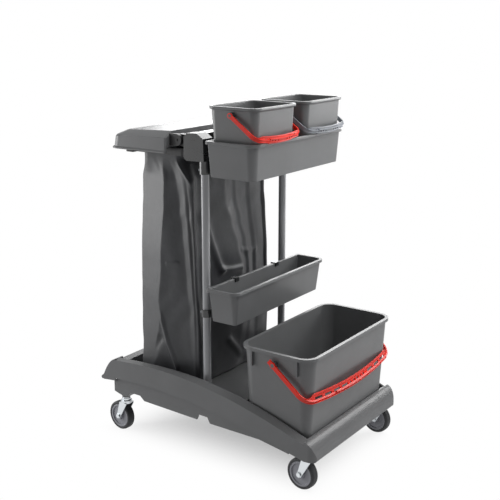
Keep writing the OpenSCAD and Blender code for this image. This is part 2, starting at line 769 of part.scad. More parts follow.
// Folds of the far, bag end, near and post sides: place along the side's straight part, share of the depth
far_folds = [[0.3, 0.1], [0.58, 0.78]];
end_folds = [[0.32, 0.8], [0.63, 0.1], [0.89, 0.7]];
near_folds = [[0.14, 0.5], [0.38, 0], [0.8, 0.78]];
post_folds = [[0.13, 1], [0.41, 0.05], [0.71, 0.7]];
bag_r = 50;
bag_lx = bag_waist[1] - bag_waist[0] - 2 * bag_r;
bag_ly = 2 * (bag_waist[2] - bag_r);

// Ring of the bag; its folds deepen with the length of the side, so that the panels stay flat
function bag_ring(s, t, r, up, folded) = let (
    x0 = s[0] + t, x1 = s[1] - t, hy = s[2] - t, z = s[3] + up, c = r - t,
    lx = x1 - x0 - 2 * c, ly = 2 * (hy - c),
    dx = folded * fold_d * lx / bag_lx, dy = folded * fold_d * ly / bag_ly)
  concat(
    corner(x1 - c, hy - c, c, 0, z), [for (f = far_folds) [x1 - c - f[0] * lx, hy - f[1] * dx, z]],
    corner(x0 + c, hy - c, c, 90, z), [for (f = end_folds) [x0 + f[1] * dy, hy - c - f[0] * ly, z]],
    corner(x0 + c, c - hy, c, 180, z), [for (f = near_folds) [x0 + c + f[0] * lx, f[1] * dx - hy, z]],
    corner(x1 - c, c - hy, c, 270, z), [for (f = post_folds) [x1 - f[1] * dy, c - hy + f[0] * ly, z]]);
function bag_rings(t) = [
  bag_ring(bag_foot, bag_lift + t, bag_r - 10, t, 1),
  bag_ring(bag_foot, t, bag_r, bag_lift, 1),
  bag_ring(bag_waist, t, bag_r, 0, 1),
  bag_ring(bag_chest, t, bag_r, 0, 1),
  bag_ring(bag_neck, t, 30, 0, 0),
  bag_ring(bag_top, t, 30, 0, 0)];

module bag() {
  outside = bag_rings(0);
  color(dark) loft(concat(outside, turned(bag_rings(bag_t))), len(outside));
}

module mid_tray() {
  color(grey) vessel(tray_x0, tray_x0 + mid_tray_d, mid_tray_w / 2, mid_z0, mid_z, tray_lip, tray_lip_h,
    tray_t, tray_floor, mid_draft, 8, 28);
}

module top_tray() {
  color(grey) vessel(tray_x0, top_tray_x1, top_tray_hy, top_z0, top_z, tray_lip, tray_lip_h,
    tray_t, tray_floor, top_draft, 10, 35);
}

// Bracket that clamps both posts and carries a tray on two ledges; hooked ones hold the tray's rim
module tray_bracket(z0, rim_z, hooked) {
  back = tray_x0 - gap;
  bar_x = post_x + clamp_r - 3;
  y0 = arm_y - arm_w / 2;
  y1 = arm_y + arm_w / 2;
  ledge_z = z0 - gap;
  difference() {
    union() {
      sides() {
        translate([post_x, post_y, z0 + clamp_rise]) cylinder(r = clamp_r, h = clamp_h);
        span([bar_x, y0, ledge_z - ledge_t], [back, y1, z0 + clamp_rise + sink]);
        span([bar_x, y0, ledge_z - ledge_t], [tray_x0 + ledge_l, y1, ledge_z]);
        if (hooked) {
          tip_x = tray_x0 + tray_lip + tray_t + gap;
          hook_z = rim_z + gap;
          span([back - upright_t, y0, z0 + clamp_rise], [back, y1, hook_z + hook_t]);
          span([back - upright_t, y0, hook_z], [tip_x + hook_t, y1, hook_z + hook_t]);
          span([tip_x, y0, rim_z - tray_lip_h], [tip_x + hook_t, y1, hook_z + sink]);
        }
      }
      span([bar_x, -post_y, z0 + clamp_rise], [back, post_y, z0 + clamp_rise + clamp_h]);
    }
    sides() {
      translate([post_x, post_y, z0]) cylinder(r = post_d / 2 + fit, h = clamp_h + 2 * clamp_rise);
      clamp_screw_place(z0) translate([0, 0, -sink]) cylinder(r = clamp_screw_r + fit, h = clamp_r);
    }
  }
}

// Place of a clamp screw on the far post, pointing at the post's axis from behind
module clamp_screw_place(z0) {
  translate([post_x - clamp_r, post_y, z0 + clamp_rise + clamp_h / 2]) rotate([0, 90, 0]) children();
}

module mid_tray_bracket() { color(black) tray_bracket(mid_z0, mid_z, true); }

module top_tray_bracket() { color(black) tray_bracket(top_z0, top_z, false); }

module bracket_screws() {
  color(zinc) for (z0 = [mid_z0, top_z0]) sides() clamp_screw_place(z0) {
    translate([0, 0, -clamp_head_t]) cylinder(r = clamp_head_r, h = clamp_head_t);
    translate([0, 0, -sink]) cylinder(r = clamp_screw_r, h = collar_t + sink - 2 * fit);
  }
}

// Bosses and pins that carry a bail, on both side walls of a bucket
module bail_pivots(x, y0, boss_y, pin_y, z, boss_r, pin_d) {
  sides() translate([x, boss_y, z]) rotate([90, 0, 0]) {
    cylinder(r = boss_r, h = boss_y - y0);
    translate([0, 0, boss_y - pin_y]) cylinder(d = pin_d, h = pin_y - boss_y + sink);
  }
}

module large_bucket() {
  wall_y = bucket_hy - bucket_lip - bucket_draft * bucket_pivot / bucket_h - bucket_t / 2;
  pin_y = bail_y + bail_t / 2 + 0.2;
  color(grey) {
    vessel(bucket_x0, bucket_x1, bucket_hy, well_z, bucket_z1, bucket_lip, bucket_lip_h, bucket_t, base_t,
      [bucket_draft, bucket_draft, bucket_draft], 48, 48);
    bail_pivots(bucket_x, wall_y, bucket_boss_y, pin_y, bucket_pivot_z, bucket_pin_d / 2 + 5, bucket_pin_d);
    sides() for (x = [bucket_x - rib_x, bucket_x + rib_x])
      span([x - 2, wall_y, bucket_pivot_z - 20], [x + 2, bucket_hy - sink, bucket_z1 - bucket_lip_h + sink]);
  }
}

// Strap bail in the xy plane, from its pivots on the y axis out to its bowed grip
function bail_side(half, reach, rc, bow_r, tail, d) = let (
    phi = asin((half - rc) / (bow_r - rc)), xc = reach - bow_r + (bow_r - rc) * cos(phi), xb = reach - bow_r)
  concat([[-tail, half + d]],
    [for (i = [0:arc_n]) let (a = 90 + (phi - 90) * i / arc_n)
      [xc + (rc + d) * cos(a), half - rc + (rc + d) * sin(a)]],
    [for (i = [1:curve_n - 1]) let (a = phi - 2 * phi * i / curve_n)
      [xb + (bow_r + d) * cos(a), (bow_r + d) * sin(a)]],
    [for (i = [0:arc_n]) let (a = -phi - (90 - phi) * i / arc_n)
      [xc + (rc + d) * cos(a), rc - half + (rc + d) * sin(a)]],
    [[-tail, -half - d]]);
function bow_band(reach, bow_r, grip_a, d) =
  [for (i = [0:curve_n]) let (a = grip_a - 2 * grip_a * i / curve_n)
    [reach - bow_r + (bow_r + d) * cos(a), (bow_r + d) * sin(a)]];

module bail(half, reach, t, strap_w, grip_w, rc, bow_r, tail, pin_d, grip_half, slots, slot_w) {
  grip_a = asin(grip_half / bow_r);
  step = 2 * slot_w;
  difference() {
    union() {
      translate([0, 0, -strap_w / 2]) linear_extrude(strap_w) polygon(concat(
        bail_side(half, reach, rc, bow_r, tail, t / 2),
        turned(bail_side(half, reach, rc, bow_r, tail, -t / 2))));
      translate([0, 0, -grip_w / 2]) linear_extrude(grip_w) polygon(concat(
        bow_band(reach, bow_r, grip_a, t / 2 + grip_rise),
        turned(bow_band(reach, bow_r, grip_a, -t / 2 - grip_rise))));
      for (y = [-half, half])
        translate([0, y + t / 2, 0]) rotate([90, 0, 0]) cylinder(r = strap_w / 2 + 2, h = t);
    }
    translate([0, half + t, 0]) rotate([90, 0, 0]) cylinder(r = pin_d / 2 + fit, h = 2 * half + 2 * t);
    for (side = [-1, 1]) for (i = [0:slots - 1])
      translate([reach, side * (grip_half - step * (i + 0.75)), 0])
        cube([6 * t, slot_w, grip_w * 0.6], center = true);
  }
}

module large_bail() {
  color(red) translate([bucket_x, 0, bucket_pivot_z]) rotate([0, bail_hang, 0])
    bail(bail_y, bail_reach, bail_t, bail_arm_w, bail_grip_w, bail_corner, bail_bow, bail_tail, bucket_pin_d,
      bail_grip, 4, 9);
}

module pail() {
  wall_y = pail_hy - pail_lip - pail_draft * pail_pivot / pail_h - pail_t / 2;
  pin_y = pail_bail_y + pail_bail_t / 2 + 0.2;
  color(grey) {
    vessel(pail_x - pail_l / 2, pail_x + pail_l / 2, pail_hy, pail_z0, pail_z1, pail_lip, pail_lip_h, pail_t,
      tray_floor, [pail_draft, pail_draft, pail_draft], 30, 30);
    bail_pivots(pail_x, wall_y, pail_boss_y, pin_y, pail_pivot_z, pail_pin_d / 2 + 4, pail_pin_d);
  }
}

module pail_bail() {
  translate([pail_x, 0, pail_pivot_z]) rotate([0, pail_hang, 0])
    bail(pail_bail_y, pail_reach, pail_bail_t, pail_arm_w, pail_grip_w, pail_corner, pail_bow, 0, pail_pin_d,
      pail_grip, 3, 7);
}

module near_bucket() { translate([0, pail_near_y, 0]) pail(); }

module far_bucket() { translate([0, pail_far_y, 0]) pail(); }

module near_bail() { color(red) translate([0, pail_near_y, 0]) pail_bail(); }

module far_bail() { color(pale) translate([0, pail_far_y, 0]) pail_bail(); }

// Caster pieces stand on their swivel axis, with the wheel trailing towards -X
module at_caster(i) {
  translate([caster_at[i].x, caster_at[i].y, 0]) rotate([0, 0, -caster_turn]) children();
}

module on_axle(y) { translate([-caster_trail, y, axle_z]) rotate([90, 0, 0]) children(); }

module caster_stem(i) {
  color(zinc) at_caster(i) {
    translate([0, 0, fork_z0 - gap - rivet_t]) cylinder(r = rivet_r, h = rivet_t);
    translate([0, 0, fork_z0 - gap - sink]) cylinder(d = stem_d, h = seat_z + stem_in - fork_z0 + gap + sink);
    translate([0, 0, flange_z]) cylinder(r = flange_r, h = flange_t);
  }
}

module caster_fork(i) {
  color(zinc) at_caster(i) difference() {
    union() {
      span([-fork_plate, -leg_y1, fork_z0], [fork_plate, leg_y1, fork_z1]);
      translate([0, 0, fork_z0]) cylinder(r = crown_r, h = neck_z - fork_z0 - neck_h);
      translate([0, 0, fork_z0]) cylinder(r = neck_r, h = neck_z - fork_z0);
      sides() {
        xz(leg_y0, leg_y1) polygon([[-fork_plate, fork_z1], [fork_plate, fork_z1], [fork_plate, fork_z0 - 4],
          [eye_r * 0.94 - caster_trail, axle_z - 3.2], [-caster_trail - eye_r * 0.94, axle_z - 3.2]]);
        on_axle(leg_y1) cylinder(r = eye_r, h = fork_t);
      }
    }
    translate([0, 0, fork_z0 - sink]) cylinder(r = stem_d / 2 + fit, h = neck_z);
    on_axle(leg_y1 + sink) cylinder(r = axle_d / 2 + fit, h = 2 * leg_y1 + 2 * sink);
  }
}

module caster_axle(i) {
  head_t = 4;
  color(zinc) at_caster(i) {
    on_axle(leg_y1 + sink) cylinder(d = axle_d, h = 2 * leg_y1 + 2 * sink);
    on_axle(leg_y1 + head_t) cylinder(r = axle_d / 2 + 3, h = head_t);
    on_axle(-leg_y1) cylinder(r = axle_d / 2 + 3, h = head_t, $fn = 6);
  }
}

// Wheel parts turn about the axle
hub_r = 13;
bush_r = axle_d / 2 + 3;
rim_r = wheel_d / 2 - tyre_t;
rim_half = wheel_w / 2 - 1;
web_half = wheel_w / 2 - 5;

module caster_wheel(i) {
  color(pale) at_caster(i) on_axle(0) rotate_extrude() polygon([
    [bush_r + fit, hub_half], [hub_r, hub_half], [hub_r + 2, web_half], [rim_r - 7, web_half],
    [rim_r - 6, rim_half], [rim_r, rim_half], [rim_r, -rim_half], [rim_r - 6, -rim_half],
    [rim_r - 7, -web_half], [hub_r + 2, -web_half], [hub_r, -hub_half], [bush_r + fit, -hub_half]]);
}

module caster_tyre(i) {
  r = wheel_d / 2;
  w = wheel_w / 2;
  color(black) at_caster(i) on_axle(0) rotate_extrude() polygon([
    [rim_r + fit, w], [r - 4, w], [r - 1, w - 3], [r, w - 7], [r, 7 - w], [r - 1, 3 - w], [r - 4, -w],
    [rim_r + fit, -w]]);
}

module wheel_bush(i) {
  color(zinc) at_caster(i) on_axle(hub_half) difference() {
    cylinder(r = bush_r, h = 2 * hub_half);
    translate([0, 0, -sink]) cylinder(r = axle_d / 2 + fit, h = 2 * hub_half + 2 * sink);
  }
}

chassis();
near_rail();
far_rail();
bag_end_bumper();
bucket_end_bumper();
base_screws();
near_post();
far_post();
near_head();
far_head();
top_beam();
hinge_pins();
lid();
lid_rests();
bag_frame();
bag();
mid_tray();
mid_tray_bracket();
top_tray();
top_tray_bracket();
bracket_screws();
large_bucket();
large_bail();
near_bucket();
near_bail();
far_bucket();
far_bail();
caster_stem(0);  // caster_stem_1
caster_stem(1);  // caster_stem_2
caster_stem(2);  // caster_stem_3
caster_stem(3);  // caster_stem_4
caster_fork(0);  // caster_fork_1
caster_fork(1);  // caster_fork_2
caster_fork(2);  // caster_fork_3
caster_fork(3);  // caster_fork_4
caster_axle(0);  // caster_axle_1
caster_axle(1);  // caster_axle_2
caster_axle(2);  // caster_axle_3
caster_axle(3);  // caster_axle_4
caster_wheel(0);  // caster_wheel_1
caster_wheel(1);  // caster_wheel_2
caster_wheel(2);  // caster_wheel_3
caster_wheel(3);  // caster_wheel_4
caster_tyre(0);  // caster_tyre_1
caster_tyre(1);  // caster_tyre_2
caster_tyre(2);  // caster_tyre_3
caster_tyre(3);  // caster_tyre_4
wheel_bush(0);  // wheel_bush_1
wheel_bush(1);  // wheel_bush_2
wheel_bush(2);  // wheel_bush_3
wheel_bush(3);  // wheel_bush_4
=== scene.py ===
import json
import math

import bmesh
import bpy
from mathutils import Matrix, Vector


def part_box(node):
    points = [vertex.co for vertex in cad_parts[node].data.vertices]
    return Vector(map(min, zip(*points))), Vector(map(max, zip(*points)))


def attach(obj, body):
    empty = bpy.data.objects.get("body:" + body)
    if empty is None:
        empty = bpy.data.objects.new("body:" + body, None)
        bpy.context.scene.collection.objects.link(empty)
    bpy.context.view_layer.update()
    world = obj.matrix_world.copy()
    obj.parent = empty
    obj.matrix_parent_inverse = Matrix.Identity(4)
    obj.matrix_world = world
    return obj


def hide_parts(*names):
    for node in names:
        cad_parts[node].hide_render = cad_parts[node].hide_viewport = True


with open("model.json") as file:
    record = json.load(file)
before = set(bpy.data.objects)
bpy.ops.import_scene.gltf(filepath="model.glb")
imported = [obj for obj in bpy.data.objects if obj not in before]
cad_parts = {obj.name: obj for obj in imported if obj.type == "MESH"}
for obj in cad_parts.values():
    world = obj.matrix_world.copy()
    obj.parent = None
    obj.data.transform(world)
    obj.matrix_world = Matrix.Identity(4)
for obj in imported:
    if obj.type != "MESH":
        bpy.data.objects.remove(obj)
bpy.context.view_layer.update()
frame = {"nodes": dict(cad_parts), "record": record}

# A janitor cart: moulded grey plastic on zinc casters, a hanging bag, two trays and three buckets.
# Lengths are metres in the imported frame. MM turns a size in millimetres into metres.
MM = 0.001

record = frame["record"]
body_of = {node: body for body, nodes in record["behaviour"]["bodies"].items() for node in nodes}
slot_of = {part["node"]: part["material_slot"] for part in record["subparts"]}
# Hinge points of the bodies that swing, in millimetres
pivot_of = {joint["child"]: [v / MM for v in joint["pos_m"]]
            for joint in record["behaviour"]["joints"] if "pos_m" in joint}

# Camera, as fitted to the photograph
VIEW_AZIMUTH = 35.0
VIEW_ELEVATION = 14.4
VIEW_DISTANCE = 3042.7 * MM
VIEW_TARGET = Vector((7.5 * MM, 0, 640.6 * MM))
FOCAL_PIXELS = 927.8
FRAME_PIXELS = 500
SENSOR = 36.0


def direction(azimuth, elevation):
    """Unit vector from the object towards a place at that bearing; azimuth 0 is the near side."""
    a = math.radians(azimuth)
    e = math.radians(elevation)
    return Vector((math.sin(a) * math.cos(e), -math.cos(a) * math.cos(e), math.sin(e)))


def aim(thing, place, target):
    """Puts a lamp or the camera at a place and turns it to the target."""
    thing.location = place
    thing.rotation_euler = (target - place).to_track_quat("-Z", "Y").to_euler()


def make_camera():
    """Camera at the photograph's place, with the photograph's angle of view."""
    data = bpy.data.cameras.new("photo_camera")
    data.sensor_width = SENSOR
    data.lens = SENSOR * FOCAL_PIXELS / FRAME_PIXELS
    data.clip_end = 200
    camera = bpy.data.objects.new("photo_camera", data)
    bpy.context.collection.objects.link(camera)
    aim(camera, VIEW_TARGET + direction(VIEW_AZIMUTH, VIEW_ELEVATION) * VIEW_DISTANCE, VIEW_TARGET)
    bpy.context.scene.camera = camera


# Colours and nodes

def linear(code, alpha=1.0):
    """Linear colour of an sRGB hex value such as 6f7072."""
    values = [int(code[i:i + 2], 16) / 255 for i in (0, 2, 4)]
    return [v / 12.92 if v <= 0.04045 else ((v + 0.055) / 1.055) ** 2.4 for v in values] + [alpha]


def scale_of(size_mm):
    """Texture scale that spaces a pattern by that many millimetres."""
    return 1 / (size_mm * MM)


def add(tree, kind, inputs=None, stops=(), **settings):
    """Adds a node, sets its properties and a ramp's (position, colour) stops, sets or links its inputs."""
    node = tree.nodes.new("ShaderNode" + kind)
    for name, value in settings.items():
        setattr(node, name, value)
    for number, (position, code) in enumerate(stops):
        node.color_ramp.elements[number].position = position
        node.color_ramp.elements[number].color = linear(code)
    for name, value in (inputs or {}).items():
        if isinstance(value, bpy.types.NodeSocket):
            tree.links.new(value, node.inputs[name])
        else:
            node.inputs[name].default_value = value
    return node


def new_material(name):
    """An empty material and its node tree."""
    material = bpy.data.materials.new(name)
    material.use_nodes = True
    material.node_tree.nodes.clear()
    return material, material.node_tree


# Materials

def moulded_plastic(name, shades, rough, grain_mm, depth_mm, coat=0.0):
    """Injection moulded plastic: even colour with faint flow clouds and a fine spark-eroded grain."""
    material, tree = new_material(name)
    place = add(tree, "TexCoord").outputs["Object"]
    clouds = add(tree, "TexNoise", {"Vector": place, "Scale": scale_of(111), "Detail": 3.0,
                                    "Roughness": 0.55})
    grain = add(tree, "TexNoise", {"Vector": place, "Scale": scale_of(grain_mm), "Detail": 2.0})
    scuffs = add(tree, "TexNoise", {"Vector": place, "Scale": scale_of(23.8), "Detail": 5.0,
                                    "Roughness": 0.7})
    colour = add(tree, "ValToRGB", {"Fac": clouds.outputs["Fac"]}, [(0.3, shades[0]), (0.7, shades[1])])
    gloss = add(tree, "MapRange", {"Value": scuffs.outputs["Fac"], "From Min": 0.35, "From Max": 0.7,
                                   "To Min": rough - 0.02, "To Max": rough + 0.04})
    bump = add(tree, "Bump", {"Height": grain.outputs["Fac"], "Strength": 0.2, "Distance": depth_mm * MM})
    surface = add(tree, "BsdfPrincipled", {"Base Color": colour.outputs["Color"], "IOR": 1.49,
                                           "Roughness": gloss.outputs["Result"],
                                           "Normal": bump.outputs["Normal"],
                                           "Coat Weight": coat, "Coat Roughness": 0.12})
    add(tree, "OutputMaterial", {"Surface": surface.outputs[0]})
    return material


def coated_tube():
    """Grey powder coat on steel tube: smooth, with a faint orange peel that softens the long highlights."""
    material, tree = new_material("powder_coated_tube")
    place = add(tree, "TexCoord").outputs["Object"]
    peel = add(tree, "TexNoise", {"Vector": place, "Scale": scale_of(2.2), "Detail": 2.0})
    tone = add(tree, "TexNoise", {"Vector": place, "Scale": scale_of(167), "Detail": 2.0})
    colour = add(tree, "ValToRGB", {"Fac": tone.outputs["Fac"]}, [(0.3, "9c9da0"), (0.7, "a5a6a9")])
    bump = add(tree, "Bump", {"Height": peel.outputs["Fac"], "Strength": 0.12, "Distance": 0.1 * MM})
    surface = add(tree, "BsdfPrincipled", {"Base Color": colour.outputs["Color"], "IOR": 1.5,
                                           "Roughness": 0.26, "Normal": bump.outputs["Normal"],
                                           "Coat Weight": 0.4, "Coat Roughness": 0.1})
    add(tree, "OutputMaterial", {"Surface": surface.outputs[0]})
    return material


def coated_cloth():
    """Dark woven nylon with a shiny polyurethane coat: fine plain weave, soft sheen, small creases with
    painted shade in their hollows.
    """
    material, tree = new_material("coated_nylon_cloth")
    place = add(tree, "TexCoord").outputs["Object"]
    # Threads are 0.4 mm apart; drawn at 1.6 mm, as coarse as a render of the whole cart can show.
    # A wave texture has about 3.2 bands in one unit of its scale.
    thread_scale = scale_of(1.6) / 3.2
    warp, weft = [add(tree, "TexWave", {"Vector": place, "Scale": thread_scale, "Distortion": 0.6},
                      bands_direction=axis) for axis in ("X", "Z")]
    weave = add(tree, "Math", {0: warp.outputs["Fac"], 1: weft.outputs["Fac"]}, operation="MULTIPLY")
    creases_and_shade = add(tree, "TexNoise", {"Vector": place, "Scale": scale_of(62.5), "Detail": 6.0,
                                     "Roughness": 0.6})
    # Painted shade: the colour follows the crease bump, darker where the cloth sinks
    colour = add(tree, "ValToRGB", {"Fac": creases_and_shade.outputs["Fac"]}, [(0.3, "3a3b3d"), (0.7, "434447")])
    fine = add(tree, "Bump", {"Height": weave.outputs[0], "Strength": 0.15, "Distance": 0.15 * MM})
    bump = add(tree, "Bump", {"Height": creases_and_shade.outputs["Fac"], "Strength": 0.35, "Distance": 3.0 * MM,
                              "Normal": fine.outputs["Normal"]})
    surface = add(tree, "BsdfPrincipled", {"Base Color": colour.outputs["Color"], "IOR": 1.42,
                                           "Roughness": 0.4, "Normal": bump.outputs["Normal"],
                                           "Sheen Weight": 0.1, "Sheen Roughness": 0.4})
    add(tree, "OutputMaterial", {"Surface": surface.outputs[0]})
    return material


def zinc_plate(name, code, rough):
    """Zinc plate or plain steel: pale metal, a little blue, with soft rolling marks."""
    material, tree = new_material(name)
    place = add(tree, "TexCoord").outputs["Object"]
    # Rolling marks are long across the plate and close together down it
    long_scale, close_scale = scale_of(33.3), scale_of(1.11)
    spread = add(tree, "Mapping", {"Vector": place, "Scale": (long_scale, long_scale, close_scale)})
    marks = add(tree, "TexNoise", {"Vector": spread.outputs[0], "Scale": 1.0, "Detail": 4.0})
    gloss = add(tree, "MapRange", {"Value": marks.outputs["Fac"],
                                   "To Min": rough - 0.06, "To Max": rough + 0.1})
    bump = add(tree, "Bump", {"Height": marks.outputs["Fac"], "Strength": 0.08, "Distance": 0.05 * MM})
    surface = add(tree, "BsdfPrincipled", {"Base Color": linear(code), "Metallic": 1.0,
                                           "Roughness": gloss.outputs["Result"],
                                           "Normal": bump.outputs["Normal"]})
    add(tree, "OutputMaterial", {"Surface": surface.outputs[0]})
    return material


def tyre_rubber():
    """Grey thermoplastic rubber: dull, with a fine matt grain from its mould."""
    material, tree = new_material("thermoplastic_rubber")
    place = add(tree, "TexCoord").outputs["Object"]
    dust = add(tree, "TexNoise", {"Vector": place, "Scale": scale_of(18.2), "Detail": 4.0})
    grain = add(tree, "TexNoise", {"Vector": place, "Scale": scale_of(0.9), "Detail": 2.0})
    colour = add(tree, "ValToRGB", {"Fac": dust.outputs["Fac"]}, [(0.35, "303133"), (0.7, "3b3c3e")])
    bump = add(tree, "Bump", {"Height": grain.outputs["Fac"], "Strength": 0.3, "Distance": 0.2 * MM})
    surface = add(tree, "BsdfPrincipled", {"Base Color": colour.outputs["Color"], "IOR": 1.5,
                                           "Roughness": 0.62, "Normal": bump.outputs["Normal"]})
    add(tree, "OutputMaterial", {"Surface": surface.outputs[0]})
    return material


finish_of = {
    # Satin grey of the base, trays, buckets and lid
    "grey_plastic": moulded_plastic("grey_polypropylene", ("68696a", "6e6f70"), rough=0.36, grain_mm=0.9,
                                    depth_mm=0.03, coat=0.08),
    "post_tube": coated_tube(),
    # Matt black of the hoop and the lid rests; the same black is painted shade on the lid's hinge knuckles,
    # the heads' noses and the hinge pins
    "black_plastic": moulded_plastic("black_nylon_and_painted_shade", ("1b1b1c", "222223"), rough=0.42, grain_mm=0.8,
                                     depth_mm=0.12),
    "bag_sheet": coated_cloth(),
    # Clear warm red and cool pale grey of the bails
    "red_plastic": moulded_plastic("red_polypropylene", ("ec240c", "f42c12"), rough=0.4, grain_mm=0.9,
                                   depth_mm=0.03),
    "pale_plastic": moulded_plastic("pale_polypropylene", ("8b8f96", "94989f"), rough=0.3, grain_mm=0.9,
                                    depth_mm=0.03),
    "zinc_steel": zinc_plate("bright_zinc_plate", "d9dde0", rough=0.3),
    "screw_steel": zinc_plate("plain_screw_steel", "8d9093", rough=0.35),
    # Light bluish grey of the wheel bodies
    "wheel_plastic": moulded_plastic("grey_wheel_nylon", ("9b9ca3", "a5a6ac"), rough=0.34, grain_mm=0.8,
                                     depth_mm=0.08),
    "tyre_rubber": tyre_rubber(),
}
# Glossier dark grey of the tray brackets; on the post heads and the beam between them the same dark grey is
# painted shade
dark_grey_and_painted_shade = moulded_plastic("dark_grey_and_shade_polypropylene", ("222324", "292a2b"), rough=0.28, grain_mm=0.9,
                            depth_mm=0.04, coat=0.6)


def dress():
    """Gives the nodes that stay the finish of their slot; the hinge pins get the black nylon, as painted
    shade of the hinge block.
    """
    for node, thing in frame["nodes"].items():
        thing.data.materials.clear()
        thing.data.materials.append(finish_of[slot_of[node]])
    # Painted shade: the steel hinge pins are drawn black like the shaded hinge block around them
    frame["nodes"]["hinge_pins"].data.materials[0] = finish_of["black_plastic"]


# Modelling

# Edges that bend by more than SHARP_ANGLE are rounded; those under SMOOTH_ANGLE are shaded smooth; degrees
SHARP_ANGLE = 28
SMOOTH_ANGLE = 32
# A copy's points within MERGE_GAP millimetres are merged, and its faces within JOIN_ANGLE degrees joined
MERGE_GAP = 0.02
JOIN_ANGLE = 0.8


def mix(a, b, t):
    """Value at a share t of the way from a to b."""
    return a + (b - a) * t


def ease(t):
    """Smooth step from 0 to 1."""
    t = min(max(t, 0.0), 1.0)
    return t * t * (3 - 2 * t)


def activate(piece):
    """Makes a piece the only selected object and the active one."""
    bpy.ops.object.select_all(action="DESELECT")
    piece.hide_set(False)
    piece.select_set(True)
    bpy.context.view_layer.objects.active = piece


def new_piece(name, mesh):
    """Links a new object for a mesh and makes it active."""
    piece = bpy.data.objects.new(name, mesh)
    bpy.context.collection.objects.link(piece)
    activate(piece)
    return piece


def sheet_mesh(name, verts, faces):
    """Mesh of corner points and faces."""
    mesh = bpy.data.meshes.new(name)
    mesh.from_pydata(verts, [], faces)
    mesh.update()
    return mesh


def turn_outwards():
    """Turns the faces of the active piece outwards."""
    bpy.ops.object.mode_set(mode="EDIT")
    bpy.ops.mesh.select_all(action="SELECT")
    bpy.ops.mesh.normals_make_consistent(inside=False)
    bpy.ops.object.mode_set(mode="OBJECT")


def thicken(piece, wall_mm):
    """Gives a sheet a wall of that thickness, inwards from its faces."""
    wall = piece.modifiers.new("wall", "SOLIDIFY")
    wall.thickness = wall_mm * MM
    wall.offset = -1.0
    bpy.ops.object.modifier_apply(modifier="wall")


def pick_edges(piece, angle, test):
    """In edit mode, selects the edges that bend by more than the angle and whose middle passes the test."""
    bpy.ops.mesh.select_mode(type="EDGE")
    bpy.ops.mesh.select_all(action="DESELECT")
    mesh = bmesh.from_edit_mesh(piece.data)
    for edge in mesh.edges:
        if len(edge.link_faces) == 2 and edge.calc_face_angle(0) > math.radians(angle):
            if test((edge.verts[0].co + edge.verts[1].co) / 2):
                edge.select_set(True)
    bmesh.update_edit_mesh(piece.data)


def round_edges(piece, width, segments, angle=SHARP_ANGLE, test=lambda p: True):
    """Rounds the edges that bend by more than the angle where the test holds; width in millimetres."""
    activate(piece)
    bpy.ops.object.mode_set(mode="EDIT")
    pick_edges(piece, angle, test)
    bpy.ops.mesh.bevel(offset=width * MM, segments=segments, profile=0.5, clamp_overlap=True)
    bpy.ops.object.mode_set(mode="OBJECT")


def smooth(piece):
    """Smooth shading that keeps flat faces flat."""
    activate(piece)
    bpy.ops.object.shade_smooth_by_angle(angle=math.radians(SMOOTH_ANGLE))
    piece.modifiers.new("flat_faces", "WEIGHTED_NORMAL").keep_sharp = True
    bpy.ops.object.modifier_apply(modifier="flat_faces")


def copy_of(node):
    """A merged copy of a node's mesh, ready for rounding."""
    piece = new_piece(node + "_finished", frame["nodes"][node].data.copy())
    bpy.ops.mesh.customdata_custom_splitnormals_clear()
    bpy.ops.object.mode_set(mode="EDIT")
    bpy.ops.mesh.select_all(action="SELECT")
    bpy.ops.mesh.remove_doubles(threshold=MERGE_GAP * MM)
    bpy.ops.mesh.dissolve_limited(angle_limit=math.radians(JOIN_ANGLE))
    bpy.ops.object.mode_set(mode="OBJECT")
    return piece


def fit_out(piece, node):
    """Gives a piece the material, slot and body of a node."""
    piece.data.materials.clear()
    piece.data.materials.append(finish_of[slot_of[node]])
    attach(piece, body_of[node])


def settle(piece, node):
    """Lets a finished piece stand for a node, with its material, slot and body."""
    fit_out(piece, node)
    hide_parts(node)


def rounded(node, width, segments, angle=SHARP_ANGLE):
    """Stands for a node with all its sharp edges rounded by the same width, in millimetres."""
    piece = copy_of(node)
    round_edges(piece, width, segments, angle)
    smooth(piece)
    settle(piece, node)
    return piece


def paint_shade(piece, test):
    """Gives the faces whose middle passes the test the black nylon, as painted shade where the hinge block
    lies in shade.
    """
    piece.data.materials.append(finish_of["black_plastic"])
    for face in piece.data.polygons:
        if test(face.center):
            face.material_index = 1


# Trays and buckets

# A vessel's floor lies within this height of its underside, and edges are picked with a margin; millimetres
FLOOR_H = 8
EDGE_MARGIN = 0.5
# Edges of a rim are rounded where they bend by more than this, in degrees
RIM_ANGLE = 40


def vessel(node, rim_h, rim_r, foot_r, floor_r):
    """An open moulded vessel with a rolled rim, a round foot and a filleted floor; sizes in millimetres."""
    piece = copy_of(node)
    low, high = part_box(node)
    rim_z = high.z - (rim_h + EDGE_MARGIN) * MM
    foot_z = low.z + EDGE_MARGIN * MM
    floor_z = low.z + FLOOR_H * MM
    round_edges(piece, foot_r, 5, test=lambda p: p.z < foot_z)
    round_edges(piece, floor_r, 2, test=lambda p: foot_z < p.z < floor_z)
    round_edges(piece, rim_r, 4, RIM_ANGLE, lambda p: p.z > rim_z)
    smooth(piece)
    settle(piece, node)


def make_vessels():
    """The two trays, the large bucket and the two small ones."""
    for tray in ("mid_tray", "top_tray"):
        vessel(tray, rim_h=10, rim_r=3.4, foot_r=6, floor_r=1)
    vessel("large_bucket", rim_h=10, rim_r=3.8, foot_r=12, floor_r=2)
    for bucket in ("near_bucket", "far_bucket"):
        vessel(bucket, rim_h=9, rim_r=3.2, foot_r=8, floor_r=2)


# Base, posts and lid

